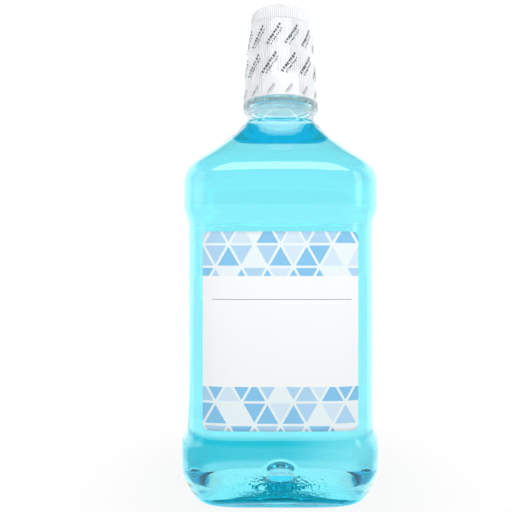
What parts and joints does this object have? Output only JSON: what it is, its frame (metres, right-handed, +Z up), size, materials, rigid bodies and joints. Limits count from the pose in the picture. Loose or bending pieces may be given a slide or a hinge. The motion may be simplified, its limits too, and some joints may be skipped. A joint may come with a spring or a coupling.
{
  "type": "mouthwash bottle",
  "caption": "Oblong plastic mouthwash bottle with a waisted label panel, filled with liquid, and a tall fluted screw cap that serves as a dosing cup under a shrink band.",
  "frame": {"origin": "middle of the flat foot, on the surface it stands on", "axes": "+Z up along the neck and cap, front label towards -Y, +X to the right of the front label"},
  "size_m": [0.1106, 0.0874, 0.277],
  "materials": {
    "clear_pet": "clear, faintly blue PET",
    "mouthwash": "clear pale blue liquid",
    "cap_white": "translucent white polypropylene, satin",
    "seal_white": "foamed polyethylene",
    "clear_film": "clear printed shrink film",
    "label_film": "printed gloss film"
  },
  "bodies": {
    "bottle": {"bottle": "clear_pet", "mouthwash_fill": "mouthwash", "front_label": "label_film", "band_collar": "clear_film"},
    "seal": {"cap_seal_ring": "seal_white"},
    "cap": {"cap": "cap_white"},
    "sleeve": {"band_sleeve": "clear_film"}
  },
  "joints": [
    {"name": "cap_rise", "type": "slide", "parent": "bottle", "child": "seal", "axis": [0, 0, 1], "range_m": [0, 0.0241]},
    {"name": "cap_turn", "type": "hinge", "parent": "seal", "child": "cap", "pos_m": [0, 0, 0.245], "axis": [0, 0, 1], "range_deg": [0, 1080]},
    {"name": "sleeve_pull_off", "type": "slide", "parent": "cap", "child": "sleeve", "axis": [0, 0, 1], "range_m": [0, 0.06]}
  ],
  "couplings": [
    {"joint": "cap_rise", "follows": "cap_turn", "m_per_rad": 0.0012732}
  ]
}
